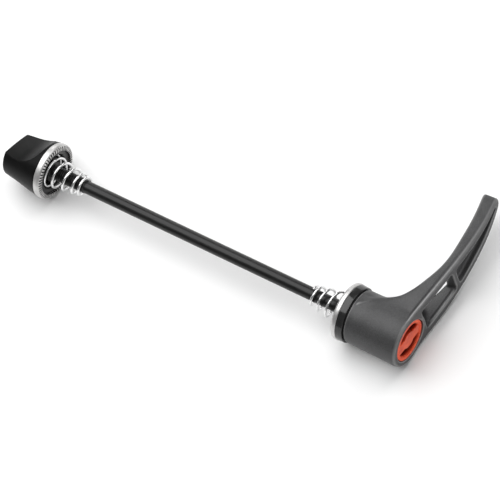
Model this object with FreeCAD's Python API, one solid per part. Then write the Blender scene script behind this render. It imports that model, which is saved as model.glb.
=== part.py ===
import FreeCAD, Part
import math
import os

# Quick-release skewer with a ratcheting lever, in millimetres.
# +X runs along the axle towards the lever, +Y along the lever arm, +Z up.
# The origin is on the axle's axis, in the lever-side clamp face.

# Axle
clamp_span = 118.9            # between the two serrated clamp faces
rod_diameter = 4.5
rod_head_step = 0.75          # head stands this far outside the rod
rod_head_thickness = 2.0
thread_step = 0.25            # rolled thread stands this far outside the rod
thread_pitch = 0.8
thread_depth = 0.44
thread_crest_share = 0.1      # flat crest and root of the thread, as shares of the pitch
thread_root_share = 0.02
thread_length = 17.6
rod_end_past_face = 5.9       # how far the rod's end stands behind the nut's clamp face

# Fits
running_clearance = 0.05
slip_clearance = 0.3
seat_gap = 0.02               # between pieces that press face to face on different bodies
fit_gap = 0.03                # between pieces assembled on one body
overrun = 1.0                 # how far cutting tools run past the faces they cut

# Serrated clamp rings
face_radius = 10.2
face_rim_radius = 0.8
ring_width = 1.9
serration_count = 54
serration_depth = 0.45
serration_length = 0.8
serration_width_share = 0.86
lever_ring_thickness = 2.1
nut_ring_thickness = 2.6

# Lever-side carrier, bush, washer and seal
carrier_thickness = 2.5
carrier_step = 0.1            # carrier stands inside the clamp ring's edge
carrier_taper = 0.2
boss_setback = 0.9            # the boss stands this far behind the clamp face
recess_step = 1.8             # from the clamp ring's bore in to the spring recess
recess_depth = 1.7            # seat of each conical spring
nut_recess_depth = 2.7
bush_wall = 0.6
boss_wall = 0.7
washer_thickness = 0.45
seal_thickness = 0.3
seal_width = 1.6
seal_step = 0.35              # seal stands inside the barrel's edge
seal_washer_gap = 0.2

# Drive hub and the toothed ring it drives
spline_ring_step = 1.25       # from the barrel's edge in to the spline ring
hub_flange_thickness = 1.6
hub_tooth_count = 24
hub_tooth_height = 0.8
hub_tooth_length = 3.9
hub_tip_share = 0.3           # widths of a tooth as shares of the tooth pitch
hub_root_share = 0.56
space_tip_share = 0.37
space_root_share = 0.65
tooth_clearance = 0.12
spline_ring_wall = 1.3
stem_wall = 0.9
hub_flange_gap = 0.3

# Lever barrel
barrel_start_gap = 0.4        # open groove between carrier and barrel
barrel_end = 25.2
barrel_step = 0.4             # barrel's outer end stands inside the clamp ring's edge
barrel_taper = 0.35
web_thickness = 1.9
cap_wall = 2.15
rim_radius = 0.8              # rounding of the barrel's and the arm's outer edges

# Lever arm: places along it are shares of its length, heights are from the barrel's end
arm_length = 57.8
arm_half_widths = ((0.277, 9.15), (0.588, 6.6), (0.945, 2.95))
arm_tip_slope = 0.2
arm_draft = 0.065             # each side narrows by this share of the way back from the barrel's end
arm_outer_start = 1.0
arm_outer = ((0.173, 0.8), (0.346, 1.95), (0.588, 2.75), (0.796, 2.3))
arm_outer_tip = 0.1
arm_outer_tip_slope = 0.22
arm_inner_tip = -4.7
arm_inner = ((0.796, -1.9), (0.623, -1.2), (0.45, -2.0), (0.311, -4.4), (0.211, -7.2), (0.142, -10.6))
arm_root = (0.059, -16.0)
back_edge_radius = 0.5        # rounding of the arm's inner face

# Pockets in the arm, in the same shares and heights
pocket_wall = 1.15            # between the cap's bore and the lower pocket
pocket_low_half_width = 6.0
pocket_high_half_width = 5.4
pocket_top = 0.436
pocket_corner_radius = 1.4
pocket_ramp = ((0.138, 1.3), (0.183, -2.6), (0.268, -6.6), (0.45, -7.2))
slot_half_widths = ((0.471, 4.9), (0.64, 3.1), (0.945, 0.7))
slot_depth = 2.2

# Cap
cap_gap = 0.2
cap_thickness = 3.65
cap_recess = 0.2              # below the barrel's end face
cap_land = 1.85               # from the cap's edge in to its crescent grooves
cap_groove_width = 1.7
cap_groove_depth = 1.5
cap_bar_half_width = 2.4
cap_bar_angle = -14.0         # from +Y towards +Z
cap_rim_width = 1.0
cap_rim_height = 0.35
cap_stud_gap = 2.76           # between the cap's stud and the rod's head
cap_seal_wire = 1.0

# Return spring between the lever's web and the cap
return_spring_wire = 0.95
return_spring_turns = 3.0
thin_washer = 0.5

# Conical springs on the rod
spring_wire = 0.95
spring_seat_gap = 0.1
spring_reach = 13.0           # from the clamp face to the small end
spring_edge_gap = 0.6         # big turn's centre line from the recess wall
spring_rod_gap = 0.9          # small turn's centre line from the rod
conical_turns = 5.0

# Nut
nut_length = 17.6             # from the clamp face to the small end
nut_step = 0.05               # nut stands inside its clamp ring's edge
nut_taper = 2.4
nut_edge_radius = 0.8
nut_wall = 2.3
insert_wall = 1.2
insert_flange = 1.95
lock_ring_thickness = 1.6
lock_ring_wall = 0.6
scoop_depth = 2.75            # at the small end
scoop_crown = 70.0            # each scoop is rounded across by this radius
scoop_sweep = 30.0
scoop_flat_length = 5.0
scoop_radius = 10.5
scoop_angle = 62.0            # from +Y towards +Z

# Radii worked out from the sizes above
rod_radius = rod_diameter / 2
rod_head_radius = rod_radius + rod_head_step
thread_radius = rod_radius + thread_step
bush_radius = rod_radius + running_clearance + bush_wall
hub_boss_radius = bush_radius + boss_wall
stem_radius = rod_head_radius + stem_wall
insert_stem_radius = thread_radius + insert_wall
lock_ring_radius = thread_radius + lock_ring_wall
face_bore_radius = face_radius - ring_width
recess_radius = face_bore_radius - recess_step
barrel_end_radius = face_radius - barrel_step
barrel_start_radius = barrel_end_radius - barrel_taper
seal_radius = barrel_start_radius - seal_step
seal_inner_radius = seal_radius - seal_width
washer_radius = seal_inner_radius - seal_washer_gap
spline_ring_radius = barrel_start_radius - spline_ring_step
hub_flange_radius = spline_ring_radius - hub_flange_gap
hub_tip_radius = spline_ring_radius - spline_ring_wall
hub_root_radius = hub_tip_radius - hub_tooth_height
cap_bore_radius = barrel_end_radius - cap_wall
cap_radius = cap_bore_radius - cap_gap
cap_groove_outer = cap_radius - cap_land
cap_groove_inner = cap_groove_outer - cap_groove_width
pocket_floor_radius = cap_bore_radius + pocket_wall
return_spring_radius = (stem_radius + cap_radius) / 2
spring_big_radius = recess_radius - spring_edge_gap
spring_small_radius = rod_radius + spring_rod_gap
nut_big_radius = face_radius - nut_step
nut_small_radius = nut_big_radius - nut_taper
scoop_distance = nut_small_radius - scoop_depth

# Places along the axle worked out from the sizes above
nut_face_x = -clamp_span
nut_seat_x = nut_face_x - nut_ring_thickness
nut_end_x = nut_face_x - nut_length
rod_end_x = nut_face_x - rod_end_past_face
carrier_back_x = lever_ring_thickness + carrier_thickness
hub_start_x = carrier_back_x + seat_gap + washer_thickness + seat_gap
tooth_start_x = hub_start_x + hub_flange_thickness
tooth_end_x = tooth_start_x + hub_tooth_length
barrel_start_x = carrier_back_x + barrel_start_gap
web_start_x = tooth_end_x + slip_clearance
web_end_x = web_start_x + web_thickness
cap_face_x = barrel_end - cap_recess
cap_under_x = cap_face_x - cap_thickness
head_seat_x = tooth_end_x - rod_head_thickness
spring_low_x = web_end_x + thin_washer
spring_high_x = cap_under_x - seat_gap - thin_washer


def point(x, y, z):
    return FreeCAD.Vector(x, y, z)


def turned(outline):
    """Solid turned about the axle from (x, radius) corners."""
    corners = [point(x, radius, 0) for x, radius in outline]
    face = Part.Face(Part.makePolygon(corners + corners[:1]))
    return face.revolve(point(0, 0, 0), point(1, 0, 0), 360)


def rod(start_x, end_x, radius):
    return Part.makeCylinder(radius, end_x - start_x, point(start_x, 0, 0), point(1, 0, 0))


def tube(start_x, end_x, inner_radius, outer_radius):
    return rod(start_x, end_x, outer_radius).cut(rod(start_x, end_x, inner_radius))


def spline(points):
    curve = Part.BSplineCurve()
    curve.interpolate(points)
    return curve.toShape()


def tangent_spline(points, start_direction, end_direction):
    curve = Part.BSplineCurve()
    curve.interpolate(Points=points, InitialTangent=start_direction, FinalTangent=end_direction)
    return curve.toShape()


def on_arm(place, across=0):
    """Point of the arm from its share of the arm's length and its height from the barrel's end."""
    share, height = place
    return point(barrel_end + height, share * arm_length, across)


def on_angle(x, radius, angle):
    return point(x, radius * math.cos(angle), radius * math.sin(angle))


def circle_edges(shape, x, radius):
    """Circular edges about the axle at one place along it."""
    found = []
    for edge in shape.Edges:
        if edge.Curve.TypeId != "Part::GeomCircle":
            continue
        centre = edge.Curve.Center
        if abs(centre.x - x) < 0.001 and abs(edge.Curve.Radius - radius) < 0.001:
            found.append(edge)
    return found


def toothed(start_x, end_x, tip_radius, root_radius, tip_share, root_share):
    """Prism along the axle whose outline has straight-sided teeth."""
    corners = []
    step = 2 * math.pi / hub_tooth_count
    for tooth in range(hub_tooth_count):
        middle = tooth * step
        corners.append(on_angle(start_x, root_radius, middle - root_share * step / 2))
        corners.append(on_angle(start_x, tip_radius, middle - tip_share * step / 2))
        corners.append(on_angle(start_x, tip_radius, middle + tip_share * step / 2))
        corners.append(on_angle(start_x, root_radius, middle + root_share * step / 2))
    face = Part.Face(Part.makePolygon(corners + corners[:1]))
    return face.extrude(point(end_x - start_x, 0, 0))


def serrations(face_x, direction):
    """V grooves cut radially into a clamp face, running out before its rounded edge."""
    half_angle = math.pi / serration_count
    ends = ((face_bore_radius - overrun, serration_depth), (face_bore_radius + serration_length, fit_gap))
    lip = point(-fit_gap * direction, 0, 0)
    grooves = []
    for index in range(serration_count):
        angle = 2 * half_angle * index
        sideways = point(0, -math.sin(angle), math.cos(angle))
        triangles = []
        for radius, depth in ends:
            across = sideways * (radius * math.tan(half_angle) * serration_width_share)
            middle = on_angle(face_x, radius, angle)
            floor = point(depth * direction, 0, 0)
            corners = [middle + across + lip, middle - across + lip, middle + floor]
            triangles.append(Part.makePolygon(corners + corners[:1]))
        grooves.append(Part.makeLoft(triangles, True, True))
    return Part.makeCompound(grooves)


def serrated_ring(face_x, thickness, direction):
    """Clamp ring whose serrated face is at face_x and whose back lies towards direction."""
    back_x = face_x + thickness * direction
    ring = tube(min(face_x, back_x), max(face_x, back_x), face_bore_radius, face_radius)
    ring = ring.makeFillet(face_rim_radius, circle_edges(ring, face_x, face_radius))
    return ring.cut(serrations(face_x, direction))


def coil(run, radius, turns, wire, cone_angle=0):
    """Wire coil round the X axis, starting at the origin with the given radius."""
    path = Part.makeHelix(run / turns, run, radius, cone_angle)
    section = Part.Wire(Part.makeCircle(wire / 2, point(radius, 0, 0), point(0, 1, 0)))
    spring = Part.Wire(path.Edges).makePipeShell([section], True, True)
    spring.rotate(point(0, 0, 0), point(0, 1, 0), 90)
    return spring


def conical_spring(seat_x):
    """Left-handed coil from its large turn at seat_x to its small turn out in front of the clamp face."""
    tip_x = -spring_reach
    run = seat_x - tip_x - spring_wire
    cone_angle = math.degrees(math.atan2(spring_big_radius - spring_small_radius, run))
    spring = coil(run, spring_small_radius, conical_turns, spring_wire, cone_angle)
    spring.translate(point(tip_x + spring_wire / 2, 0, 0))
    return spring.mirror(point(0, 0, 0), point(0, 0, 1))


def make_axle_rod():
    root_radius = thread_radius - thread_depth
    crest_low = (1 - thread_crest_share) / 2 * thread_pitch
    crest_high = (1 + thread_crest_share) / 2 * thread_pitch
    valley = (1 - thread_root_share) * thread_pitch
    outline = [(rod_end_x, 0), (rod_end_x, root_radius)]
    for turn in range(int(thread_length / thread_pitch)):
        low = rod_end_x + turn * thread_pitch
        outline.append((low + crest_low, thread_radius))
        outline.append((low + crest_high, thread_radius))
        outline.append((low + valley, root_radius))
    outline.append((rod_end_x + thread_length + thread_pitch, rod_radius))
    outline.append((head_seat_x, rod_radius))
    outline.append((head_seat_x, rod_head_radius))
    outline.append((tooth_end_x, rod_head_radius))
    outline.append((tooth_end_x, 0))
    return turned(outline)


def make_drive_hub():
    flange = rod(hub_start_x, tooth_start_x, hub_flange_radius)
    shares = (hub_tip_share, hub_root_share)
    teeth = toothed(tooth_start_x, tooth_end_x, hub_tip_radius, hub_root_radius, *shares)
    stem = rod(tooth_start_x, cap_under_x, stem_radius)
    hub = flange.fuse([teeth, stem]).removeSplitter()
    hub = hub.cut(rod(hub_start_x - overrun, tooth_end_x, rod_radius + fit_gap))
    return hub.cut(rod(head_seat_x, cap_under_x + overrun, rod_head_radius + fit_gap))


def make_end_cap():
    outside_x = cap_face_x + overrun
    groove_floor = cap_face_x - cap_groove_depth
    seal_x = cap_under_x + cap_thickness / 2
    half_wire = cap_seal_wire / 2
    cap = rod(cap_under_x + fit_gap, cap_face_x, cap_radius)
    stud = rod(tooth_end_x + cap_stud_gap, cap_under_x + overrun, rod_head_radius - fit_gap)
    dish = rod(cap_face_x - cap_rim_height, outside_x, cap_radius - cap_rim_width)
    grooves = tube(groove_floor, outside_x, cap_groove_inner, cap_groove_outer)
    bar_corner = point(groove_floor, -cap_radius, -cap_bar_half_width)
    bar = Part.makeBox(outside_x - groove_floor, 2 * cap_radius, 2 * cap_bar_half_width, bar_corner)
    bar.rotate(point(0, 0, 0), point(1, 0, 0), cap_bar_angle)
    groove_radius = cap_radius - cap_seal_wire
    seal_groove = tube(seal_x - half_wire, seal_x + half_wire, groove_radius, cap_radius + overrun)
    return cap.fuse(stud).cut(dish).cut(grooves.cut(bar)).cut(seal_groove).removeSplitter()


def make_cap_seal():
    wire_radius = cap_seal_wire / 2 - fit_gap
    ring_radius = cap_radius - cap_seal_wire / 2 + running_clearance
    centre = point(cap_under_x + cap_thickness / 2, 0, 0)
    return Part.makeTorus(ring_radius, wire_radius, centre, point(1, 0, 0))


def make_ring_carrier():
    ring_seat_radius = face_bore_radius - fit_gap
    edge_radius = face_radius - carrier_step
    outline = [
        (boss_setback, ring_seat_radius),
        (lever_ring_thickness, ring_seat_radius),
        (lever_ring_thickness, edge_radius),
        (carrier_back_x, edge_radius - carrier_taper),
        (carrier_back_x, bush_radius),
        (boss_setback, bush_radius),
        (boss_setback, hub_boss_radius),
        (boss_setback + recess_depth, hub_boss_radius),
        (boss_setback + recess_depth, recess_radius),
        (boss_setback, recess_radius),
    ]
    return turned(outline)


def make_carrier_bush():
    return tube(boss_setback, carrier_back_x, rod_radius + running_clearance, bush_radius - fit_gap)


def make_thrust_washer():
    start_x = carrier_back_x + seat_gap
    return tube(start_x, start_x + washer_thickness, rod_radius + 2 * running_clearance, washer_radius)


def make_dust_seal():
    start_x = carrier_back_x + seat_gap
    return tube(start_x, start_x + seal_thickness, seal_inner_radius, seal_radius)


def flank(x, inset, side):
    """One curved side of the arm, from beside the axle to the tip."""
    points = [point(x, 0, side * (barrel_end_radius - fit_gap - inset))]
    for share, half_width in arm_half_widths:
        points.append(point(x, share * arm_length, side * (half_width - inset)))
    return tangent_spline(points, point(0, 1, 0), point(0, 1, -arm_tip_slope * side))


def arm_section(x):
    """Closed outline of the arm at one place along the axle."""
    inset = (barrel_end - x) * arm_draft
    low = barrel_end_radius - fit_gap - inset
    share, half_width = arm_half_widths[-1]
    half_width = half_width - inset
    nose_points = [
        point(x, share * arm_length, half_width),
        point(x, arm_length - inset, 0),
        point(x, share * arm_length, -half_width),
    ]
    nose = tangent_spline(nose_points, point(0, 1, -arm_tip_slope), point(0, -1, -arm_tip_slope))
    foot = Part.makeLine(point(x, 0, -low), point(x, 0, low))
    return Part.Wire([foot, flank(x, inset, 1), nose, flank(x, inset, -1)])


def arm_side_profile():
    """Closed side view of the arm, as a face in the plane of the axle and the arm."""
    past_tip = 1 + overrun / arm_length
    outer = [point(barrel_end, arm_outer_start, 0)] + [on_arm(place) for place in arm_outer]
    outer.append(on_arm((past_tip, arm_outer_tip)))
    inner = [on_arm(place) for place in ((past_tip, arm_inner_tip),) + arm_inner + (arm_root,)]
    root_x = inner[-1].x
    outer_low = point(barrel_end, -overrun, 0)
    inner_low = point(root_x, -overrun, 0)
    edges = [
        Part.makeLine(outer_low, outer[0]),
        tangent_spline(outer, point(0, 1, 0), point(-arm_outer_tip_slope, 1, 0)),
        Part.makeLine(outer[-1], inner[0]),
        spline(inner),
        Part.makeLine(inner[-1], inner_low),
        Part.makeLine(inner_low, outer_low),
    ]
    return Part.Face(Part.Wire(edges))


def through_width(face, start_x=0):
    """Side-view face carried across the whole width of the lever."""
    face.translate(point(start_x, 0, -2 * face_radius))
    return face.extrude(point(0, 0, 4 * face_radius))


def on_rim(edge):
    """Whether an edge runs lengthways along the arm's outer face."""
    box = edge.BoundBox
    return box.XMin > barrel_end - fit_gap and box.YLength > fit_gap


def on_back(edge):
    """Whether an edge runs along the arm's inner, concave face."""
    box = edge.BoundBox
    tip_start = arm_half_widths[-1][0] * arm_length
    return box.YMax > tip_start - overrun and box.YLength > overrun and box.XMax < barrel_end


def make_arm():
    back_x = on_arm(arm_root).x - 2 * overrun
    front_x = barrel_end + 2 * arm_outer[2][1]
    body = Part.makeLoft([arm_section(front_x), arm_section(back_x)], True, True)
    arm = body.common(through_width(arm_side_profile()))
    arm = arm.makeFillet(rim_radius, [edge for edge in arm.Edges if on_rim(edge)])
    return arm.makeFillet(back_edge_radius, [edge for edge in arm.Edges if on_back(edge)])


def make_pocket():
    """Through pocket beside the cap, whose floor ramps back to the inner face."""
    start_angle = math.asin(pocket_low_half_width / pocket_floor_radius)
    low_y = pocket_floor_radius * math.cos(start_angle)
    top_y = pocket_top * arm_length
    low_left = point(0, low_y, -pocket_low_half_width)
    low_right = point(0, low_y, pocket_low_half_width)
    top_left = point(0, top_y, -pocket_high_half_width)
    top_right = point(0, top_y, pocket_high_half_width)
    outline = Part.Wire([
        Part.Arc(low_left, point(0, pocket_floor_radius, 0), low_right).toShape(),
        Part.makeLine(low_right, top_right),
        Part.makeLine(top_right, top_left),
        Part.makeLine(top_left, low_left),
    ])
    depth = 2 * barrel_end
    prism = Part.Face(outline).extrude(point(depth, 0, 0))
    corners = [edge for edge in prism.Edges if edge.BoundBox.XLength > depth - fit_gap]
    prism = prism.makeFillet(pocket_corner_radius, corners)
    ramp = [on_arm(place) for place in pocket_ramp]
    ramp.append(point(depth, ramp[-1].y, 0))
    ramp.append(point(depth, ramp[0].y, 0))
    return prism.common(through_width(Part.Face(Part.makePolygon(ramp + ramp[:1]))))


def make_slot():
    """Long blind pocket that narrows to a point towards the tip."""
    right = [point(0, share * arm_length, half_width) for share, half_width in slot_half_widths]
    left = [point(0, corner.y, -corner.z) for corner in right]
    outline = Part.Wire([
        spline(left),
        Part.makeLine(left[-1], right[-1]),
        spline(right),
        Part.makeLine(right[0], left[0]),
    ])
    depth = 2 * barrel_end
    prism = Part.Face(outline).extrude(point(depth, 0, 0))
    corners = [edge for edge in prism.Edges if edge.BoundBox.XLength > depth - fit_gap]
    corners = [edge for edge in corners if abs(edge.BoundBox.ZMax) > slot_half_widths[1][1]]
    prism = prism.makeFillet(pocket_corner_radius, corners)
    return prism.cut(through_width(arm_side_profile(), -slot_depth))


def make_lever():
    barrel = turned([
        (barrel_start_x, 0),
        (barrel_start_x, barrel_start_radius),
        (barrel_end, barrel_end_radius),
        (barrel_end, 0),
    ])
    barrel = barrel.makeFillet(rim_radius, circle_edges(barrel, barrel_end, barrel_end_radius))
    lever = barrel.fuse(make_arm()).removeSplitter()
    lever = lever.cut(rod(barrel_start_x - overrun, web_start_x, spline_ring_radius))
    lever = lever.cut(rod(barrel_start_x, barrel_end, stem_radius + running_clearance))
    lever = lever.cut(rod(web_end_x, barrel_end + overrun, cap_bore_radius))
    return lever.cut(make_pocket()).cut(make_slot())


def make_spline_ring():
    body = rod(tooth_start_x + slip_clearance, web_start_x, spline_ring_radius - fit_gap)
    tip = hub_tip_radius + tooth_clearance
    root = hub_root_radius + tooth_clearance
    spaces = toothed(tooth_start_x, web_start_x + overrun, tip, root, space_tip_share, space_root_share)
    return body.cut(spaces)


def make_spring_seat_washer():
    return tube(web_end_x, web_end_x + thin_washer - seat_gap, stem_radius + slip_clearance, cap_radius)


def make_return_spring():
    run = spring_high_x - spring_low_x - return_spring_wire - 2 * seat_gap
    spring = coil(run, return_spring_radius, return_spring_turns, return_spring_wire)
    spring.translate(point(spring_low_x + seat_gap + return_spring_wire / 2, 0, 0))
    return spring


def make_cap_washer():
    bore_radius = stem_radius + running_clearance
    return tube(spring_high_x, spring_high_x + thin_washer, bore_radius, cap_radius - cap_gap)


def make_lever_side_spring():
    return conical_spring(boss_setback + recess_depth - spring_seat_gap)


def make_nut_side_spring():
    spring = conical_spring(boss_setback + nut_recess_depth - spring_seat_gap)
    spring.rotate(point(-clamp_span / 2, 0, 0), point(0, 0, 1), 180)
    return spring


def scoop(angle):
    """Tool for one finger scoop: flat by the small end, then run out on an arc."""
    start_x = nut_end_x - overrun
    flat_end_x = nut_end_x + scoop_flat_length
    outside_y = nut_big_radius + overrun
    run_out = math.acos(1 - (outside_y - scoop_distance) / scoop_radius)
    arc = []
    for turn in (run_out / 2, run_out):
        rise = scoop_radius * (1 - math.cos(turn))
        arc.append(point(flat_end_x + scoop_radius * math.sin(turn), scoop_distance + rise, 0))
    start = point(start_x, scoop_distance, 0)
    flat_end = point(flat_end_x, scoop_distance, 0)
    top = point(start_x, outside_y, 0)
    edges = [
        Part.makeLine(start, flat_end),
        Part.Arc(flat_end, arc[0], arc[1]).toShape(),
        Part.makeLine(arc[1], top),
        Part.makeLine(top, start),
    ]
    face = Part.Face(Part.Wire(edges))
    face.rotate(point(0, scoop_distance - scoop_crown, 0), point(1, 0, 0), -scoop_sweep / 2)
    tool = face.revolve(point(0, scoop_distance - scoop_crown, 0), point(1, 0, 0), scoop_sweep)
    tool.rotate(point(0, 0, 0), point(1, 0, 0), angle)
    return tool


def make_nut_body():
    body = turned([
        (nut_end_x, 0),
        (nut_end_x, nut_small_radius),
        (nut_seat_x, nut_big_radius),
        (nut_seat_x, 0),
    ])
    for turn in (0, 180):
        body = body.cut(scoop(scoop_angle + turn))
    end_edges = [edge for edge in body.Edges if edge.BoundBox.XMax < nut_end_x + fit_gap]
    body = body.makeFillet(nut_edge_radius, end_edges)
    body = body.cut(rod(nut_seat_x - insert_flange, nut_seat_x + overrun, face_bore_radius))
    return body.cut(rod(nut_end_x + nut_wall, nut_seat_x + overrun, insert_stem_radius + fit_gap))


def make_nut_insert():
    front_x = nut_face_x - boss_setback
    floor_x = front_x - nut_recess_depth
    flange_x = nut_seat_x - insert_flange
    end_x = nut_end_x + nut_wall + fit_gap
    lock_x = end_x + lock_ring_thickness
    outline = [
        (front_x, face_bore_radius - fit_gap),
        (front_x, recess_radius),
        (floor_x, recess_radius),
        (floor_x, hub_boss_radius),
        (front_x, hub_boss_radius),
        (front_x, thread_radius + running_clearance),
        (lock_x, thread_radius + running_clearance),
        (lock_x, lock_ring_radius),
        (end_x, lock_ring_radius),
        (end_x, insert_stem_radius),
        (flange_x, insert_stem_radius),
        (flange_x, face_bore_radius - fit_gap),
    ]
    return turned(outline)


def make_nut_lock_ring():
    start_x = nut_end_x + nut_wall + 2 * fit_gap
    end_x = start_x + lock_ring_thickness - 2 * fit_gap
    return tube(start_x, end_x, thread_radius + running_clearance, lock_ring_radius - fit_gap)


pieces = {
    "axle_rod": make_axle_rod,
    "drive_hub": make_drive_hub,
    "end_cap": make_end_cap,
    "cap_seal": make_cap_seal,
    "lever_clamp_ring": lambda: serrated_ring(0, lever_ring_thickness, 1),
    "ring_carrier": make_ring_carrier,
    "carrier_bush": make_carrier_bush,
    "thrust_washer": make_thrust_washer,
    "dust_seal": make_dust_seal,
    "lever_side_spring": make_lever_side_spring,
    "lever": make_lever,
    "spline_ring": make_spline_ring,
    "spring_seat_washer": make_spring_seat_washer,
    "return_spring": make_return_spring,
    "cap_washer": make_cap_washer,
    "nut_side_spring": make_nut_side_spring,
    "nut_body": make_nut_body,
    "nut_clamp_ring": lambda: serrated_ring(nut_face_x, nut_ring_thickness, -1),
    "nut_insert": make_nut_insert,
    "nut_lock_ring": make_nut_lock_ring,
}

os.makedirs("parts", exist_ok=True)
for name, make in pieces.items():
    shape = make()
    print(name, shape.isValid(), len(shape.Solids), round(shape.Volume, 2))
    shape.exportStep("parts/" + name + ".step")
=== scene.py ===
import bpy
import bmesh
import math
import numpy
from mathutils import Matrix, Vector


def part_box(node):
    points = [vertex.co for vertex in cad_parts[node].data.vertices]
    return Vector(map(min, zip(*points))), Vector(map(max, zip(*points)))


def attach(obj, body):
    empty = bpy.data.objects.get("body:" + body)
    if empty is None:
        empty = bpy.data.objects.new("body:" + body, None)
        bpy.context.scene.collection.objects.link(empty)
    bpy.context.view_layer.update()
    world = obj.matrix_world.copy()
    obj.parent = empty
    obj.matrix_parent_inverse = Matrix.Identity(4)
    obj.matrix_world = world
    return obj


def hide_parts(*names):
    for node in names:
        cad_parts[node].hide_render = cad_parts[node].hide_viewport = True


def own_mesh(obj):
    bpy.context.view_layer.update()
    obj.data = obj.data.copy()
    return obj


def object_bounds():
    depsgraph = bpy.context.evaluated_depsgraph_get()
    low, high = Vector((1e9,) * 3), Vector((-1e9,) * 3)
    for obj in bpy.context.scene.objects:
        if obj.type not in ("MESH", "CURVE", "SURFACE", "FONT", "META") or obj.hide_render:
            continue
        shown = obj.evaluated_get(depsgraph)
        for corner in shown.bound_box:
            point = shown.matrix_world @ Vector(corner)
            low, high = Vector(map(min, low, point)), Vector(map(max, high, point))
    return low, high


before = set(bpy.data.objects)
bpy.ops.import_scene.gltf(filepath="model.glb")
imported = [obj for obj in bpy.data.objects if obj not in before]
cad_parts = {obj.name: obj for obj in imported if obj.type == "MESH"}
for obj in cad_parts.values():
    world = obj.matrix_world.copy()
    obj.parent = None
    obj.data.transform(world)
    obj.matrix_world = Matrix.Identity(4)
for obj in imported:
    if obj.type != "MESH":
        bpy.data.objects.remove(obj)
cadLow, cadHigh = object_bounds()
print("frame loaded")

mm = 0.001
turn = 2 * math.pi


# How the pieces are measured, meshed and shaded

def span(node):
    # where a turned node starts and ends along the axle, and its outer radius, in millimetres
    low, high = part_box(node)
    return low.x / mm, high.x / mm, (high.z - low.z) / 2 / mm


def smoothStep(low, high, value):
    share = min(max((value - low) / (high - low), 0), 1)
    return share * share * (3 - 2 * share)


def softOutline(corners, steps=6):
    # corners are (x, radius, rounding); each rounded corner becomes an arc
    points = []
    for index, (x, radius, rounding) in enumerate(corners):
        here = Vector((x, radius))
        if rounding == 0:
            points.append(here)
            continue
        before = (Vector(corners[index - 1][:2]) - here).normalized()
        after = (Vector(corners[(index + 1) % len(corners)][:2]) - here).normalized()
        half = before.angle(after) / 2
        centre = here + (before + after).normalized() * (rounding / math.sin(half))
        start = (here + before * (rounding / math.tan(half)) - centre).normalized()
        end = (here + after * (rounding / math.tan(half)) - centre).normalized()
        points += [centre + start.slerp(end, step / steps) * rounding for step in range(steps + 1)]
    return points


def finer(points, longest):
    # splits the long runs of a closed outline
    result = []
    for index, point in enumerate(points):
        following = points[(index + 1) % len(points)]
        pieces = max(1, math.ceil((following - point).length / longest))
        result += [point.lerp(following, step / pieces) for step in range(pieces)]
    return result


def newObject(name, data):
    thing = bpy.data.objects.new(name, data)
    bpy.context.scene.collection.objects.link(thing)
    return thing


def meshObject(name, mesh):
    data = bpy.data.meshes.new(name)
    mesh.to_mesh(data)
    mesh.free()
    return newObject(name, data)


def finishMesh(name, mesh, body, material, nodes, sharpAngle=38, weld=0.0005):
    bmesh.ops.remove_doubles(mesh, verts=mesh.verts, dist=weld * mm)
    bmesh.ops.recalc_face_normals(mesh, faces=mesh.faces)
    for face in mesh.faces:
        face.smooth = True
    for edge in mesh.edges:
        if len(edge.link_faces) == 2 and edge.calc_face_angle() > math.radians(sharpAngle):
            edge.smooth = False
    piece = meshObject(name, mesh)
    piece.data.materials.append(material)
    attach(piece, body)
    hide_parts(*nodes)
    return piece


def turnedMesh(outline, segments, closed=True, shape=None, paintedShade=None):
    # turns (x, radius) points about the axle; shape may move each point by its angle, and the last argument
    # darkens it with painted shade
    mesh = bmesh.new()
    layer = mesh.verts.layers.float.new("paintedShade")
    rows = []
    for x, radius in outline:
        row = []
        for step in range(segments):
            angle = turn * step / segments
            px, pr = shape(x, radius, angle) if shape else (x, radius)
            vert = mesh.verts.new((px * mm, pr * mm * math.cos(angle), pr * mm * math.sin(angle)))
            vert[layer] = paintedShade(x, radius, angle) if paintedShade else 0
            row.append(vert)
        rows.append(row)
    count = len(rows) if closed else len(rows) - 1
    for index in range(count):
        row, following = rows[index], rows[(index + 1) % len(rows)]
        for step in range(segments):
            after = (step + 1) % segments
            mesh.faces.new((row[step], row[after], following[after], following[step]))
    return mesh


def sweptWire(path, radius, sides=14, endShare=0.8):
    # round wire along a path of points round the axle; its two ends are endShare as thick
    mesh = bmesh.new()
    rows = []
    ends = len(path) - 1
    for index, point in enumerate(path):
        tangent = (path[min(index + 1, ends)] - path[max(index - 1, 0)]).normalized()
        outward = Vector((0, point.y, point.z)).normalized()
        outward = (outward - tangent * outward.dot(tangent)).normalized()
        across = tangent.cross(outward)
        thickness = radius * (endShare if index in (0, ends) else 1)
        row = []
        for side in range(sides):
            angle = turn * side / sides
            offset = outward * math.cos(angle) + across * math.sin(angle)
            row.append(mesh.verts.new((point + offset * thickness) * mm))
        rows.append(row)
    for row, following in zip(rows, rows[1:]):
        for side in range(sides):
            after = (side + 1) % sides
            mesh.faces.new((row[side], row[after], following[after], following[side]))
    mesh.faces.new(rows[0])
    mesh.faces.new(rows[-1])
    return mesh


def remeshedCopy(name, node, voxel, weld=0.0002):
    # finely remeshed copy of a node
    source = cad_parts[node]
    mesh = bmesh.new()
    mesh.from_mesh(source.data)
    bmesh.ops.remove_doubles(mesh, verts=mesh.verts, dist=weld * mm)
    base = meshObject(name + "Base", mesh)
    remesh = base.modifiers.new("Remesh", "REMESH")
    remesh.mode = "VOXEL"
    remesh.voxel_size = voxel * mm
    remesh.adaptivity = 0
    evaluated = base.evaluated_get(bpy.context.evaluated_depsgraph_get())
    mesh = bmesh.new()
    mesh.from_mesh(evaluated.to_mesh())
    evaluated.to_mesh_clear()
    bpy.data.objects.remove(base)
    return mesh


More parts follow.
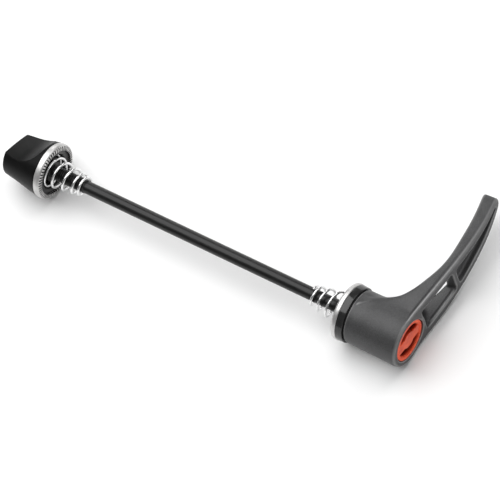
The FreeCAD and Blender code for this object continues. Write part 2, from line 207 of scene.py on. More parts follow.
def soften(mesh, rounds, weight=None, fillOnly=False, pull=0.5):
    # wears the edges round, or only fills the hollows; weight says how much each point takes part
    mesh.verts.index_update()
    mesh.normal_update()
    places = numpy.array([vert.co[:] for vert in mesh.verts])
    normals = numpy.array([vert.normal[:] for vert in mesh.verts])
    shares = numpy.array([weight(vert.co / mm) if weight else 1.0 for vert in mesh.verts])[:, None] * pull
    ends = numpy.array([(edge.verts[0].index, edge.verts[1].index) for edge in mesh.edges])
    ends = ends[(shares[ends[:, 0], 0] > 0) | (shares[ends[:, 1], 0] > 0)]
    heads = numpy.concatenate((ends[:, 0], ends[:, 1]))
    tails = numpy.concatenate((ends[:, 1], ends[:, 0]))
    links = numpy.maximum(numpy.bincount(heads, minlength=len(places)), 1)[:, None]
    for step in range(rounds):
        sums = [numpy.bincount(heads, places[tails, axis], len(places)) for axis in range(3)]
        sums = numpy.stack(sums, axis=1)
        change = (sums / links - places) * shares
        if fillOnly:
            change[(change * normals).sum(axis=1) < 0] = 0
        places += change
    for vert, place in zip(mesh.verts, places):
        vert.co = place


def markEdges(mesh, rounds):
    # stores how strongly each point stands out, in hundredths of a millimetre, as the mask for edge wear and
    # painted highlight
    before = [vert.co.copy() for vert in mesh.verts]
    soften(mesh, rounds)
    layer = mesh.verts.layers.float.new("edgeWearAndHighlightMask")
    mesh.normal_update()
    for vert, place in zip(mesh.verts, before):
        vert[layer] = (place - vert.co).dot(vert.normal) / mm * 100
        vert.co = place


def addNode(tree, kind, inputs=None, **settings):
    node = tree.nodes.new(kind)
    for key, value in settings.items():
        setattr(node, key, value)
    for key, value in (inputs or {}).items():
        if isinstance(value, bpy.types.NodeSocket):
            tree.links.new(value, node.inputs[key])
        else:
            node.inputs[key].default_value = value
    return node


def grey(value, tint=(1, 1, 1)):
    return tuple(value * part for part in tint) + (1,)


def startMaterial(name, **constants):
    # principled material with its constant values set on the shader itself
    material = bpy.data.materials.new(name)
    material.use_nodes = True
    tree = material.node_tree
    shader = next(node for node in tree.nodes if node.type == "BSDF_PRINCIPLED")
    for key, value in constants.items():
        shader.inputs[key.replace("_", " ")].default_value = value
    place = addNode(tree, "ShaderNodeTexCoord").outputs["Object"]
    return material, tree, shader, place


def noise(tree, place, size, detail=3, stretch=(1, 1, 1)):
    # noise whose grains are about size millimetres across
    stretched = addNode(tree, "ShaderNodeMapping", {"Vector": place, "Scale": stretch}).outputs[0]
    inputs = {"Vector": stretched, "Scale": 1 / (size * mm), "Detail": detail}
    return addNode(tree, "ShaderNodeTexNoise", inputs).outputs[0]


def turnedLines(tree, place, size, detail=4):
    # fine lathe lines: noise that changes only with the distance from the axle and along it
    parts = addNode(tree, "ShaderNodeSeparateXYZ", {0: place})
    flat = addNode(tree, "ShaderNodeCombineXYZ", {1: parts.outputs[1], 2: parts.outputs[2]})
    radius = addNode(tree, "ShaderNodeVectorMath", {0: flat.outputs[0]}, operation="LENGTH").outputs["Value"]
    lathe = addNode(tree, "ShaderNodeCombineXYZ", {0: parts.outputs[0], 1: radius}).outputs[0]
    return noise(tree, lathe, size, detail)


def between(tree, share, low, high, start=0.3, end=0.7):
    # number or colour that goes from low to high as share goes from start to end
    if isinstance(low, tuple):
        ramp = addNode(tree, "ShaderNodeValToRGB", {0: share})
        for element, where, colour in zip(ramp.color_ramp.elements, (start, end), (low, high)):
            element.position = where
            element.color = colour
        return ramp.outputs[0]
    inputs = {0: share, 1: start, 2: end, 3: low, 4: high}
    return addNode(tree, "ShaderNodeMapRange", inputs).outputs[0]


def mixed(tree, share, first, second):
    # blend of two colours: all first at share 0, all second at share 1
    return addNode(tree, "ShaderNodeMix", {0: share, 6: first, 7: second}, data_type="RGBA").outputs[2]


def addPaintedShade(tree, colour, dark):
    # painted shade: dark colour in the hollows that the mesh marks
    share = addNode(tree, "ShaderNodeAttribute", attribute_name="paintedShade").outputs["Fac"]
    share = between(tree, share, 0.0, 1.0, start=0.1, end=0.9)
    return mixed(tree, share, colour, dark)


def paintEdgeWearAndHighlight(tree, colour, wearAndHighlightColour, start=0.53, end=0.62, strength=0.5):
    # lighter colour on the convex edges, found by pointiness: painted highlight, partly also edge wear
    edge = addNode(tree, "ShaderNodeNewGeometry").outputs["Pointiness"]
    return mixed(tree, between(tree, edge, 0.0, strength, start, end), colour, wearAndHighlightColour)


def finishMaterial(tree, shader, colour, roughness, height, depth, strength=1.0):
    tree.links.new(colour, shader.inputs["Base Color"])
    tree.links.new(roughness, shader.inputs["Roughness"])
    inputs = {"Height": height, "Strength": strength, "Distance": depth * mm}
    bump = addNode(tree, "ShaderNodeBump", inputs)
    tree.links.new(bump.outputs[0], shader.inputs["Normal"])


# Materials

blastedGreyLooks = {
    "dark": 0.046, "light": 0.064, "wearAndHighlightColour": 0.26, "wearAndHighlightShare": 0.9, "wearAndHighlightStart": 0.7, "wearAndHighlightEnd": 3.0,
    "grain": 0.2, "grainDepth": 0.02, "speck": (0.6, 1.4), "patch": 9.0, "tint": (1, 1, 1.02),
    "roughness": (0.42, 0.54), "metallic": 0.35,
}


def blastedGrey():
    looks = blastedGreyLooks
    material, tree, shader, place = startMaterial("blasted_grey_anodised", Metallic=looks["metallic"])
    grain = noise(tree, place, looks["grain"], detail=4)
    patch = noise(tree, place, looks["patch"])
    colour = between(tree, patch, grey(looks["dark"], looks["tint"]), grey(looks["light"], looks["tint"]))
    speck = between(tree, grain, *looks["speck"], start=0.35, end=0.65)
    colour = addNode(tree, "ShaderNodeVectorMath", {0: colour, "Scale": speck}, operation="SCALE").outputs[0]
    # edges that stand out are lighter: partly wear, partly painted highlight
    wearAndHighlightShare = addNode(tree, "ShaderNodeAttribute", attribute_name="edgeWearAndHighlightMask").outputs["Fac"]
    wearAndHighlightShare = between(tree, wearAndHighlightShare, 0.0, looks["wearAndHighlightShare"], looks["wearAndHighlightStart"], looks["wearAndHighlightEnd"])
    colour = mixed(tree, wearAndHighlightShare, colour, grey(looks["wearAndHighlightColour"]))
    roughness = between(tree, grain, *looks["roughness"])
    finishMaterial(tree, shader, colour, roughness, grain, looks["grainDepth"])
    return material


glossBlackLooks = {
    "dark": 0.0035, "light": 0.007, "edge": 0.03,
    "ripple": 2.5, "rippleDepth": 0.01, "bump": 0.4, "dust": 0.25, "roughness": (0.14, 0.24), "specular": 0.2,
}


def glossBlack(name, **changes):
    looks = {**glossBlackLooks, **changes}
    material, tree, shader, place = startMaterial(name, Specular_IOR_Level=looks["specular"])
    ripple = noise(tree, place, looks["ripple"], detail=2)
    dust = noise(tree, place, looks["dust"], detail=5)
    colour = between(tree, ripple, grey(looks["dark"]), grey(looks["light"]))
    # painted highlight on the convex edges of the black finishes
    colour = paintEdgeWearAndHighlight(tree, colour, grey(looks["edge"]))
    roughness = between(tree, dust, *looks["roughness"])
    finishMaterial(tree, shader, colour, roughness, ripple, looks["rippleDepth"], looks["bump"])
    return material


satinSteelLooks = {
    "dark": 0.51, "light": 0.68, "tint": (1, 0.99, 0.98),
    # the last value on the next line is the dark colour of the painted shade in the ring's tooth gaps
    "lines": 0.09, "lineDepth": 0.004, "bump": 0.6, "patch": 3.0, "paintedGapShade": 0.015,
    "roughness": (0.36, 0.48), "metallic": 1.0,
}


def turnedMetal(name, **changes):
    looks = {**satinSteelLooks, **changes}
    material, tree, shader, place = startMaterial(name, Metallic=looks["metallic"])
    lines = turnedLines(tree, place, looks["lines"])
    patch = noise(tree, place, looks["patch"], detail=4)
    colour = between(tree, patch, grey(looks["dark"], looks["tint"]), grey(looks["light"], looks["tint"]))
    # painted shade in the tooth gaps that the ring's mesh marks
    colour = addPaintedShade(tree, colour, grey(looks["paintedGapShade"]))
    roughness = between(tree, lines, *looks["roughness"])
    finishMaterial(tree, shader, colour, roughness, lines, looks["lineDepth"], looks["bump"])
    return material


darkRodLooks = {
    "dark": 0.010, "light": 0.019, "streak": 0.35, "streakStretch": (0.06, 1, 1),
    "roughness": (0.26, 0.36), "depth": 0.004, "bump": 0.5, "metallic": 0.5,
}


def darkRod():
    looks = darkRodLooks
    material, tree, shader, place = startMaterial("dark_satin_rod", Metallic=looks["metallic"])
    streak = noise(tree, place, looks["streak"], detail=4, stretch=looks["streakStretch"])
    colour = between(tree, streak, grey(looks["dark"]), grey(looks["light"]))
    roughness = between(tree, streak, *looks["roughness"])
    finishMaterial(tree, shader, colour, roughness, streak, looks["depth"], looks["bump"])
    return material


chromeWireLooks = {
    "dark": 0.75, "light": 0.90, "grain": 0.3, "roughness": (0.18, 0.28), "depth": 0.006, "bump": 0.3,
}


def chromeWire():
    looks = chromeWireLooks
    material, tree, shader, place = startMaterial("chromed_spring_wire", Metallic=1.0)
    grain = noise(tree, place, looks["grain"])
    colour = between(tree, grain, grey(looks["dark"]), grey(looks["light"]))
    roughness = between(tree, grain, *looks["roughness"])
    finishMaterial(tree, shader, colour, roughness, grain, looks["depth"], looks["bump"])
    return material


redCapLooks = {
    # groove is the dark colour of the painted shade in the crescent grooves
    "groove": (0.09, 0.003, 0.002, 1), "deep": (0.62, 0.05, 0.015, 1),
    "bright": (0.86, 0.11, 0.035, 1), "wearAndHighlightColour": (1.0, 0.26, 0.12, 1),
    "lines": 0.11, "lineDepth": 0.006, "bump": 0.5, "patch": 4.0, "edge": 0.6,
    "roughness": (0.30, 0.42), "metallic": 0.55,
}


def redAnodised():
    looks = redCapLooks
    material, tree, shader, place = startMaterial("red_anodised", Metallic=looks["metallic"])
    lines = turnedLines(tree, place, looks["lines"])
    patch = noise(tree, place, looks["patch"])
    colour = between(tree, patch, looks["deep"], looks["bright"], start=0.25, end=0.6)
    # painted shade in the crescent grooves
    colour = addPaintedShade(tree, colour, looks["groove"])
    # lighter convex edges: partly edge wear, partly painted highlight
    colour = paintEdgeWearAndHighlight(tree, colour, looks["wearAndHighlightColour"], strength=looks["edge"])
    roughness = between(tree, lines, *looks["roughness"])
    finishMaterial(tree, shader, colour, roughness, lines, looks["lineDepth"], looks["bump"])
    return material


mouldedBlackLooks = {
    "shade": 0.014, "dark": 0.7, "light": 1.3, "grain": 0.25, "roughness": (0.5, 0.7), "specular": 0.35,
    "depth": 0.02, "bump": 0.6,
}


def mouldedBlack(name, **changes):
    # matt black plastic or rubber with a fine moulded grain
    looks = {**mouldedBlackLooks, **changes}
    material, tree, shader, place = startMaterial(name, Specular_IOR_Level=looks["specular"])
    grain = noise(tree, place, looks["grain"], detail=5)
    colour = between(tree, grain, grey(looks["shade"] * looks["dark"]), grey(looks["shade"] * looks["light"]))
    roughness = between(tree, grain, *looks["roughness"])
    finishMaterial(tree, shader, colour, roughness, grain, looks["depth"], looks["bump"])
    return material


materials = {
    "lever": blastedGrey(),
    "nut": glossBlack("gloss_black_nut", specular=0.12, roughness=(0.34, 0.44), dark=0.002, light=0.004),
    "carrier": glossBlack(
        "gloss_black_carrier", specular=0.5, roughness=(0.10, 0.18), dark=0.012, light=0.02),
    # the insert's much lighter edge colour is a painted highlight along its recess edge
    "insert": glossBlack(
        "satin_black_insert", specular=0.4, roughness=(0.3, 0.42), dark=0.018, light=0.028, edge=0.2),
    "ring": turnedMetal("satin_steel_ring"),
    "machined": turnedMetal("machined_steel", dark=0.42, light=0.58, roughness=(0.3, 0.45)),
    "washer": turnedMetal("polished_washer", dark=0.55, light=0.7, roughness=(0.2, 0.3)),
    "rod": darkRod(),
    "wire": chromeWire(),
    "red": redAnodised(),
    "polymer": mouldedBlack("black_polymer", shade=0.016, grain=0.3, roughness=(0.45, 0.6)),
    "rubber": mouldedBlack("black_rubber", shade=0.012, grain=0.2, roughness=(0.6, 0.8)),
}
print("materials made:", len(materials))


# Lever: one forged and blasted piece, its flanks hollowed, its pockets and all its edges rounded

leverSettings = {
    "voxel": 0.2, "boreClear": 0.4, "barrelRadius": 9.62,
    # rounds of smoothing: everywhere, in the root's hollow, over the root, in the pockets, for the edge wear
    # and painted highlight mask
    "rounds": 14, "rootRounds": 160, "rootWorn": 140, "pocketRounds": 110, "wearAndHighlightRounds": 5,
    # hollowed flanks: (place along the arm, depth), where the outer rim ends and where the depth eases off
    "hollow": ((0.0, 1.85), (8.0, 1.85), (20.0, 1.1), (35.0, 0.45), (56.0, 0.0)),
    "rim": (0.7, 2.4), "ease": (5.0, 14.0), "easeShare": 0.75, "draft": 0.065, "creaseBlend": 0.5,
    # the middle of the arm, up to core, isn't sunk, and the sinking fades over sinkReach times its depth
    "core": 1.0, "sinkReach": 2.2, "sinkMargin": (0.3, 0.2),
    # the tip is made thicker behind the rim, and the through slot opens towards the inner face
    "tipFuller": 0.8, "tipStart": (25, 42), "tipBehind": (1.0, 4.5),
    "slotDraft": 0.28, "slotStart": (10, 13), "slotEnd": (26, 29),
    "slotBehind": (0.8, 2.4), "slotSide": (0.55, 0.85),
    # root: the arm's inner face as (place along the arm, height), its lean and its fillet
    "innerFace": ((-4.0, 1.0), (3.4, 9.2), (8.2, 14.6), (12.2, 18.0), (18.0, 20.8)),
    "rootLean": 50, "rootRadius": 10.0, "rootNear": 0.7, "rootSide": (7.5, 10.5),
    "rootX": (6, 21), "rootY": (-2, 15), "rootSkin": 0.6,
    "softX": (6.0, 13.0, 19.0, 23.0), "softY": (-2.0, 6.5, 13.0, 18.0), "softSkin": 1.0,
    # pockets: from this place along the arm, this far behind the rim and in from the flanks
    "pocketStart": 8, "pocketBehind": (0.35, 12), "pocketWall": 0.9,
}


def along(pairs, value):
    # straight interpolation in a list of (place, number)
    for (start, low), (end, high) in zip(pairs, pairs[1:]):
        if value <= end:
            return low + (high - low) * max(value - start, 0) / (end - start)
    return pairs[-1][1]


def measureArm(mesh):
    # the arm's outer face height and its half width in steps of a millimetre along it
    heights, widths = {}, {}
    for vert in mesh.verts:
        place = vert.co / mm
        row = round(place.y)
        heights[row] = max(heights.get(row, place.x), place.x)
        widths[row] = max(widths.get(row, 0), abs(place.z))
    rows = sorted(heights)
    return [(row, heights[row]) for row in rows], [(row, widths[row]) for row in rows]


def reshapeArm(mesh):
    # thickens the tip, opens the slot and sinks both flanks down to a soft crease where they meet the barrel
    settings = leverSettings
    heights, widths = measureArm(mesh)
    blend = settings["creaseBlend"]
    outerMargin, innerMargin = settings["sinkMargin"]
    for vert in mesh.verts:
        x, y, z = vert.co / mm
        if y < 0:
            continue
        behind = along(heights, y) - x
        width = along(widths, y)
        fuller = smoothStep(*settings["tipStart"], y) * smoothStep(*settings["tipBehind"], behind)
        vert.co.x -= settings["tipFuller"] * fuller * mm
        opening = smoothStep(*settings["slotBehind"], behind) * smoothStep(*settings["slotStart"], y)
        opening *= 1 - smoothStep(*settings["slotEnd"], y)
        opening *= 1 - smoothStep(*settings["slotSide"], abs(z) / width)
        vert.co.z *= 1 + settings["slotDraft"] * opening
        if abs(z) < settings["core"]:
            continue
        surface = width - settings["draft"] * max(behind, 0)
        depth = along(settings["hollow"], y) * smoothStep(*settings["rim"], behind)
        depth *= 1 - settings["easeShare"] * smoothStep(*settings["ease"], behind)
        barrel = math.sqrt(max(settings["barrelRadius"] ** 2 - y * y, 0))
        flank = surface - depth
        close = max(blend - abs(flank - barrel), 0) / blend
        sink = surface - max(flank, barrel) - close * close * blend / 4
        if sink > 0:
            start = surface - settings["sinkReach"] * sink - outerMargin
            share = smoothStep(start, surface - innerMargin, abs(z))
            vert.co.z -= math.copysign(sink * share * mm, z)


def fillRoot(mesh):
    # raises a fillet along the line where the arm's inner face meets the barrel
    settings = leverSettings
    lean = math.radians(settings["rootLean"])
    reach = settings["rootRadius"] * math.tan(lean / 2)
    near = settings["rootNear"]
    lowX, highX = settings["rootX"]
    lowY, highY = settings["rootY"]
    mesh.normal_update()
    for vert in mesh.verts:
        x, y, z = vert.co / mm
        offBarrel = math.hypot(y, z) - settings["barrelRadius"]
        if not (lowX < x < highX and lowY < y < highY) or offBarrel < -settings["rootSkin"]:
            continue
        offArm = (along(settings["innerFace"], y) - x) * math.sin(lean)
        if min(abs(offBarrel), abs(offArm)) > near or offArm < -near:
            continue
        away = abs(offBarrel - offArm) / math.sin(lean)
        rise = max(reach - away, 0) ** 2 / (2 * settings["rootRadius"])
        side = 1 - smoothStep(*settings["rootSide"], abs(z))
        vert.co += vert.normal * (rise * side * mm)


def rampUpDown(places, value):
    # rises between the first two places and falls between the last two
    return smoothStep(*places[:2], value) * (1 - smoothStep(*places[2:], value))


def rootShare(place):
    # how much a point takes part in the soft blend between barrel and arm
    settings = leverSettings
    if math.hypot(place.y, place.z) <= settings["barrelRadius"] - settings["softSkin"]:
        return 0
    return rampUpDown(settings["softX"], place.x) * rampUpDown(settings["softY"], place.y)


def makeLever():
    settings = leverSettings
    splineRing = span("spline_ring")
    boreRadius = splineRing[2] + settings["boreClear"]
    mesh = remeshedCopy("lever", "lever", settings["voxel"])
    heights, widths = measureArm(mesh)

    def wornShare(place):
        # the bore that holds the spline ring stays sharp
        return 1 if math.hypot(place.y, place.z) > boreRadius or place.x > splineRing[1] else 0

    def pocketShare(place):
        # points inside the two pockets, away from their rims
        behind = along(heights, place.y) - place.x
        inside = along(widths, place.y) - abs(place.z)
        low, high = settings["pocketBehind"]
        deep = place.y > settings["pocketStart"] and low < behind < high
        return 1 if deep and inside > settings["pocketWall"] else 0

    soften(mesh, settings["pocketRounds"], pocketShare, fillOnly=True)
    reshapeArm(mesh)
    fillRoot(mesh)
    soften(mesh, settings["rootRounds"], rootShare, fillOnly=True)
    soften(mesh, settings["rootWorn"], rootShare)
    soften(mesh, settings["rounds"], wornShare)
    markEdges(mesh, settings["wearAndHighlightRounds"])
    finishMesh(
        "lever_forging", mesh, "lever_group", materials["lever"], ["lever"],
        sharpAngle=60)


makeLever()
print("lever made")


# Nut: closed black nut with two finger scoops

nutSettings = {"voxel": 0.2, "rounds": 3}

nutMesh = remeshedCopy("nut", "nut_body", nutSettings["voxel"])
soften(nutMesh, nutSettings["rounds"])
finishMesh("nut_shell", nutMesh, "nut", materials["nut"], ["nut_body"], sharpAngle=50)
print("nut made")


# Clamp rings: well rounded rim, and radial teeth from the bore over most of the face, with painted shade
# between them

ringSettings = {
    "boreWidth": 1.9, "rim": 1.2, "backRound": 0.25, "boreRound": 0.06, "segments": 648, "longest": 0.18,
    # the last value on the next line is the strength of the painted shade in the tooth gaps
    "teeth": 54, "toothDepth": 1.1, "toothLength": 1.6, "paintedGapShade": 4.0,
    # where a gap between teeth fades: shares of its length, of its depth and of half its spacing
    "fadeOut": (0.6, 1.0), "fadeBack": (0.585, 1.3), "flank": (0.45, 0.75),
}


def makeClampRing(name, node, body, towards):
    # towards is the side on which the serrated face lies
    settings = ringSettings
    low, high, radius = span(node)
    face, back = (high, low) if towards > 0 else (low, high)
    bore = radius - settings["boreWidth"]
    corners = [
        (face, bore, settings["boreRound"]),
        (face, radius, settings["rim"]),
        (back, radius, settings["backRound"]),
        (back, bore, 0),
    ]
    outline = finer(softOutline(corners, steps=8), settings["longest"])

    def notch(x, r, angle):
        wave = abs((angle / turn * settings["teeth"]) % 1 - 0.5) * 2
        reach = 1 - smoothStep(*settings["fadeOut"], (r - bore) / settings["toothLength"])
        front = 1 - smoothStep(*settings["fadeBack"], abs(x - face) / settings["toothDepth"])
        return reach * front * smoothStep(*settings["flank"], wave)

    def cutTeeth(x, r, angle):
        return x - towards * settings["toothDepth"] * notch(x, r, angle), r

    # painted shade in the gaps between the teeth
    def paintedGapShade(x, r, angle):
        return notch(x, r, angle) * settings["paintedGapShade"]

    mesh = turnedMesh(outline, settings["segments"], shape=cutTeeth, paintedShade=paintedGapShade)
    finishMesh(name, mesh, body, materials["ring"], [node], sharpAngle=32)


makeClampRing("lever_side_clamp_ring", "lever_clamp_ring", "clamp_face", -1)
makeClampRing("nut_side_clamp_ring", "nut_clamp_ring", "nut", 1)
print("clamp rings made")


# Carrier and insert: turned pieces behind the rings, with a recess that seats each conical spring

seatSettings = {
    "recessInset": 1.8, "recessDepth": 1.7, "nutRecessDepth": 2.7, "bossWall": 0.7, "ringInset": 1.83,
    "edge": 0.12, "rim": 0.22, "floorRound": 0.2, "seatRound": 0.05, "boreRound": 0.1,
    "fit": 0.03, "backInset": 0.2, "nutBore": 2.55, "stem": 3.7, "flange": 1.95, "segments": 192,
}


def makeCarrier():
    settings = seatSettings
    edge, rim, floorRound = settings["edge"], settings["rim"], settings["floorRound"]
    front, back, radius = span("ring_carrier")
    ringBack = span("lever_clamp_ring")[1]
    bore = span("carrier_bush")[2] + settings["fit"]
    boss = bore + settings["bossWall"]
    seat = radius - settings["ringInset"]
    recess = seat + settings["fit"] - settings["recessInset"]
    floor = front + settings["recessDepth"]
    corners = [
        (front, bore, 0), (front, boss, edge), (floor, boss, floorRound), (floor, recess, floorRound),
        (front, recess, edge), (front, seat, settings["seatRound"]), (ringBack, seat, 0),
        (ringBack, radius, rim), (back, radius - settings["backInset"], rim), (back, bore, 0),
    ]
    mesh = turnedMesh(softOutline(corners), settings["segments"])
    finishMesh(
        "ring_carrier_turned", mesh, "clamp_face", materials["carrier"], ["ring_carrier"])


def makeInsert():
    settings = seatSettings
    edge, floorRound = settings["edge"], settings["floorRound"]
    back, front, radius = span("nut_insert")
    lock = span("nut_lock_ring")
    lockFace, lockSeat = lock[1] + settings["fit"], lock[2] + settings["fit"]
    bore, stem = settings["nutBore"], settings["stem"]
    boss = span("carrier_bush")[2] + settings["fit"] + settings["bossWall"]
    flangeBack = span("nut_body")[1] - settings["flange"]
    recess = radius + settings["fit"] - settings["recessInset"]
    floor = front - settings["nutRecessDepth"]
    corners = [
        (front, radius, settings["seatRound"]), (front, recess, edge), (floor, recess, floorRound),
        (floor, boss, floorRound), (front, boss, edge), (front, bore, settings["boreRound"]),
        (lockFace, bore, 0), (lockFace, lockSeat, 0), (back, lockSeat, 0), (back, stem, 0),
        (flangeBack, stem, 0), (flangeBack, radius, 0),
    ]
    mesh = turnedMesh(softOutline(corners), settings["segments"])
    finishMesh("nut_insert_turned", mesh, "nut", materials["insert"], ["nut_insert"])


makeCarrier()
makeInsert()
print("spring seats made")


# Cap: red disc with two crescent grooves either side of a bar, and a finely knurled rim

capSettings = {
    "rimWidth": 1.0, "rimHeight": 0.3, "grooveInner": 3.35, "grooveOuter": 6.0, "grooveDepth": 2.0,
    "barHalf": 1.9, "barTurn": -14, "softness": 0.2, "knurls": 78, "knurlDepth": 0.07, "knurlStart": 0.3,
    "ribDepth": 0.2, "thickness": 3.6, "sideRound": 0.2, "underRound": 0.2, "studRound": (0.1, 0.3),
    "studFit": 0.03, "segments": 504, "rowStep": 0.11, "faceBand": 0.001,
}


def makeCap():
    settings = capSettings
    studStart, face, radius = span("end_cap")
    under = face - settings["thickness"]
    stud = span("axle_rod")[2] - settings["studFit"]
    softness, grooveOuter = settings["softness"], settings["grooveOuter"]
    flatEnd = radius - settings["sideRound"]

    def knurl(angle):
        return 0.5 - 0.5 * math.cos(settings["knurls"] * angle)

    def groove(r, angle):
        across = abs(r * math.sin(angle - math.radians(settings["barTurn"])))
        ribbed = grooveOuter - settings["ribDepth"] * knurl(angle)
        inner = smoothStep(settings["grooveInner"] - softness, settings["grooveInner"], r)
        outer = 1 - smoothStep(ribbed, ribbed + softness, r)
        ends = smoothStep(settings["barHalf"], settings["barHalf"] + 2 * softness, across)
        return min(inner, outer) * ends

    def faceDepth(r, angle):
        rimStart = radius - settings["rimWidth"]
        dish = settings["rimHeight"] * (1 - smoothStep(rimStart - softness, rimStart, r))
        sunk = groove(r, angle)
        outside = smoothStep(grooveOuter, grooveOuter + settings["knurlStart"], r)
        knurled = settings["knurlDepth"] * outside * knurl(angle)
        return dish * (1 - sunk) + settings["grooveDepth"] * sunk + knurled

    def onFace(x):
        return abs(x - face) < settings["faceBand"]

    def shape(x, r, angle):
        return (x - faceDepth(r, angle), r) if onFace(x) else (x, r)

    # painted shade: how far each point of the face lies in a groove
    def shade(x, r, angle):
        return groove(r, angle) if onFace(x) else 0

    rows = int(flatEnd / settings["rowStep"])
    faceRows = [Vector((face, flatEnd * step / rows)) for step in range(rows + 1)]
    studBase, studEnd = settings["studRound"]
    side = softOutline([
        (face, 0, 0), (face, radius, settings["sideRound"]), (under, radius, settings["underRound"]),
        (under, stud, studBase), (studStart, stud, studEnd), (studStart, 0, 0),
    ])
    mesh = turnedMesh(faceRows + side[1:], settings["segments"], closed=False, shape=shape, paintedShade=shade)
    finishMesh(
        "cap_with_crescents", mesh, "axle", materials["red"], ["end_cap"], sharpAngle=55)


makeCap()
print("cap made")


# Axle rod: plain shank with a rolled thread at the nut's end

rodSettings = {
    "rod": 2.25, "threadRadius": 2.5, "threadDepth": 0.44, "pitch": 0.8, "threadLength": 17.6,
    "crest": (0.08, 0.92), "runOut": 0.2, "endChamfer": 0.5, "headLength": 2.0, "headRound": (0.15, 0.3),
    "segments": 56, "rowsPerPitch": 10, "shankStep": 2.0,
}


def makeRod():
    settings = rodSettings
    rod, threadRadius, pitch = settings["rod"], settings["threadRadius"], settings["pitch"]
    start, end, head = span("axle_rod")
    threadEnd = start + settings["threadLength"]
    headSeat = end - settings["headLength"]
    step = pitch / settings["rowsPerPitch"]
    rows = int((settings["threadLength"] + pitch) / step) + 1
    outline = [Vector((start, 0))]
    outline += [Vector((start + index * step, threadRadius)) for index in range(rows)]
    plain = outline[-1].x + settings["runOut"]
    count = int((headSeat - plain) / settings["shankStep"])
    outline += [Vector((plain + (headSeat - plain) * index / count, rod)) for index in range(count + 1)]
    headBack, headFront = settings["headRound"]
    headCorners = [(headSeat, rod, 0), (headSeat, head, headBack), (end, head, headFront), (end, 0, 0)]
    outline += softOutline(headCorners)[1:]

    def shape(x, r, angle):
        if x > threadEnd + pitch or r == 0:
            return x, r
        wave = abs(((x - start) / pitch - angle / turn) % 1 - 0.5) * 2
        crest = smoothStep(*settings["crest"], wave)
        fade = 1 - smoothStep(threadEnd - pitch, threadEnd + pitch, x)
        radius = rod + (threadRadius - rod) * fade
        radius -= settings["threadDepth"] * (1 - crest) * fade
        chamfer = settings["endChamfer"] * (1 - smoothStep(0, settings["endChamfer"], x - start))
        return x, radius - chamfer

    mesh = turnedMesh(outline, settings["segments"], closed=False, shape=shape)
    finishMesh("threaded_rod", mesh, "axle", materials["rod"], ["axle_rod"], sharpAngle=50)


makeRod()
print("rod made")


# Springs: round wire with a closed turn at each end

springSettings = {
    "wire": 0.475, "seatGap": 0.12, "stepsPerTurn": 56, "ease": 0.2,
    # rise and radius are lists of (turns from the seat, share of the length) and (turns, millimetres)
    "leverSide": {
        "hand": 1, "start": 0.211,
        "rise": ((0, 0), (0.6, 0), (1.6, 0.313), (2.6, 0.588), (3.6, 0.822), (4.5, 1), (5.0, 1)),
        "radius": ((0, 5.9), (0.6, 5.9), (4.5, 3.15), (5.0, 3.15)),
    },
    "nutSide": {
        "hand": -1, "start": 0.451,
        "rise": (
            (0, 0), (0.35, 0), (1.15, 0.154), (2.15, 0.321), (3.15, 0.599), (4.15, 0.83), (5.15, 0.97),
            (5.6, 1),
        ),
        "radius": (
            (0, 5.9), (0.35, 5.9), (1.15, 5.5), (2.15, 4.75), (3.15, 4.3), (4.15, 3.9), (5.15, 3.4),
            (5.6, 3.15),
        ),
    },
}


def eased(pairs, value, reach, half=4):
    # the same as along, with its corners rounded: the mean of evenly spread places within reach
    last = pairs[-1][0]
    places = [min(max(value + reach * part / half, 0), last) for part in range(-half, half + 1)]
    return sum(along(pairs, place) for place in places) / len(places)


def coilPoint(x, radius, turns):
    return Vector((x, radius * math.cos(turn * turns), radius * math.sin(turn * turns)))


def conicalPath(seatX, tipX, coil):
    # from the large closed turn on its seat to the small closed turn at the tip
    settings = springSettings
    towards = 1 if tipX > seatX else -1
    wire, reach = settings["wire"], settings["ease"]
    run = abs(tipX - seatX) - 2 * wire
    path = []
    for step in range(round(coil["rise"][-1][0] * settings["stepsPerTurn"]) + 1):
        turns = step / settings["stepsPerTurn"]
        x = seatX + towards * (wire + run * eased(coil["rise"], turns, reach))
        radius = eased(coil["radius"], turns, reach)
        path.append(coilPoint(x, radius, coil["start"] + coil["hand"] * turns))
    return path


def makeConicalSpring(name, node, seatNode, body, towards, side):
    settings = springSettings
    low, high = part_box(node)
    seatLow, seatHigh = span(seatNode)[:2]
    if towards > 0:
        seatX, tipX = seatHigh - seatSettings["nutRecessDepth"] + settings["seatGap"], high.x / mm
    else:
        seatX, tipX = seatLow + seatSettings["recessDepth"] - settings["seatGap"], low.x / mm
    mesh = sweptWire(conicalPath(seatX, tipX, settings[side]), settings["wire"])
    finishMesh(name, mesh, body, materials["wire"], [node], sharpAngle=60)


makeConicalSpring(
    "lever_side_conical_spring", "lever_side_spring", "ring_carrier", "hub_spring", -1, "leverSide")
makeConicalSpring("nut_side_conical_spring", "nut_side_spring", "nut_insert", "nut_spring", 1, "nutSide")

returnSettings = {
    "wire": 0.475, "turns": 3.0, "closed": 0.6, "radius": 5.675, "stepsPerTurn": 56, "keep": 0.43,
}


def makeReturnSpring():
    settings = returnSettings
    start, end = span("return_spring")[:2]
    wire, closed = settings["wire"], settings["closed"]
    path = []
    for step in range(int(settings["turns"] * settings["stepsPerTurn"]) + 1):
        turns = step / settings["stepsPerTurn"]
        share = min(max((turns - closed) / (settings["turns"] - 2 * closed), 0), 1)
        x = start + wire + (end - start - 2 * wire) * share
        path.append(coilPoint(x, settings["radius"], turns))
    spring = finishMesh(
        "return_spring_coil", sweptWire(path, wire), "spring_pack", materials["wire"],
        ["return_spring"], sharpAngle=60)
    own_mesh(spring)


makeReturnSpring()
print("springs made")


# The nodes whose CAD shape is already right only get their finish

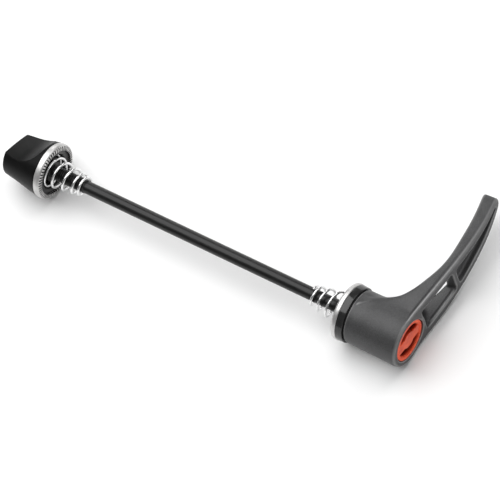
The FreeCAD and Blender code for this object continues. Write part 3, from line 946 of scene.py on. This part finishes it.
nodeFinishes = {
    "drive_hub": "machined", "cap_seal": "rubber", "carrier_bush": "polymer", "thrust_washer": "washer",
    "dust_seal": "rubber", "spline_ring": "machined", "spring_seat_washer": "washer",
    "cap_washer": "washer", "nut_lock_ring": "polymer",
}
for node, finish in nodeFinishes.items():
    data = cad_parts[node].data
    data.materials.clear()
    data.materials.append(materials[finish])
print("plain nodes finished")


# Camera, floor and lights

cameraSettings = {
    "place": (431.946, -332.041, 1022.494), "right": (0.82760, 0.51982, -0.21181),
    "up": (-0.39135, 0.80486, 0.44614), "lens": 252, "sensor": 36, "clip": (0.05, 20),
}


def makeCamera():
    settings = cameraSettings
    right, up = Vector(settings["right"]), Vector(settings["up"])
    turned = Matrix((right, up, right.cross(up))).transposed().to_4x4()
    turned.translation = Vector(settings["place"]) * mm
    data = bpy.data.cameras.new("camera")
    data.lens = settings["lens"]
    data.sensor_width = settings["sensor"]
    data.clip_start, data.clip_end = settings["clip"]
    camera = newObject("camera", data)
    camera.matrix_world = turned
    bpy.context.scene.camera = camera


stageSettings = {
    "floorSize": 3.0, "floorShade": (0.94525, 0.95), "floorRoughness": (0.85, 0.95), "floorSpecular": 0.1,
    "mottle": 60, "mottleDepth": 0.01, "mottleBump": 0.1, "worldLight": 0.2,
    "lights": (
        # name, place, aim, size, watts
        ("overhead", (-0.35, 0.05, 0.85), (-0.04, 0.0, 0.0), 1.1, 11.0),
        ("low back", (-0.6, 1.0, 0.28), (-0.13, 0.0, 0.0), 0.35, 1.2),
        ("key", (0.15, 0.75, 0.75), (0.0, 0.02, 0.0), 0.5, 2.0),
        ("side", (0.9, 0.1, 0.22), (0.0, 0.02, 0.0), 0.4, 1.6),
    ),
}


def makeStage():
    settings = stageSettings
    half = settings["floorSize"] / 2
    mesh = bmesh.new()
    corners = ((-half, -half), (half, -half), (half, half), (-half, half))
    mesh.faces.new([mesh.verts.new((x, y, cadLow.z)) for x, y in corners])
    material, tree, shader, place = startMaterial("pale_floor", Specular_IOR_Level=settings["floorSpecular"])
    mottle = noise(tree, place, settings["mottle"], detail=2)
    dark, light = settings["floorShade"]
    colour = between(tree, mottle, grey(dark), grey(light))
    roughness = between(tree, mottle, *settings["floorRoughness"])
    finishMaterial(tree, shader, colour, roughness, mottle, settings["mottleDepth"], settings["mottleBump"])
    floor = meshObject("floor", mesh)
    floor.data.materials.append(material)
    for name, place, aim, size, watts in settings["lights"]:
        lamp = bpy.data.lights.new(name, "AREA")
        lamp.shape = "SQUARE"
        lamp.size = size
        lamp.energy = watts
        light = newObject(name, lamp)
        light.location = place
        light.rotation_mode = "QUATERNION"
        light.rotation_quaternion = (Vector(aim) - Vector(place)).to_track_quat("-Z", "Y")
    world = bpy.data.worlds.new("studio")
    bpy.context.scene.world = world
    world.use_nodes = True
    background = next(node for node in world.node_tree.nodes if node.type == "BACKGROUND")
    background.inputs["Color"].default_value = (1, 1, 1, 1)
    background.inputs["Strength"].default_value = settings["worldLight"]


makeCamera()
makeStage()
bpy.context.scene.view_settings.view_transform = "Standard"
print("stage made")
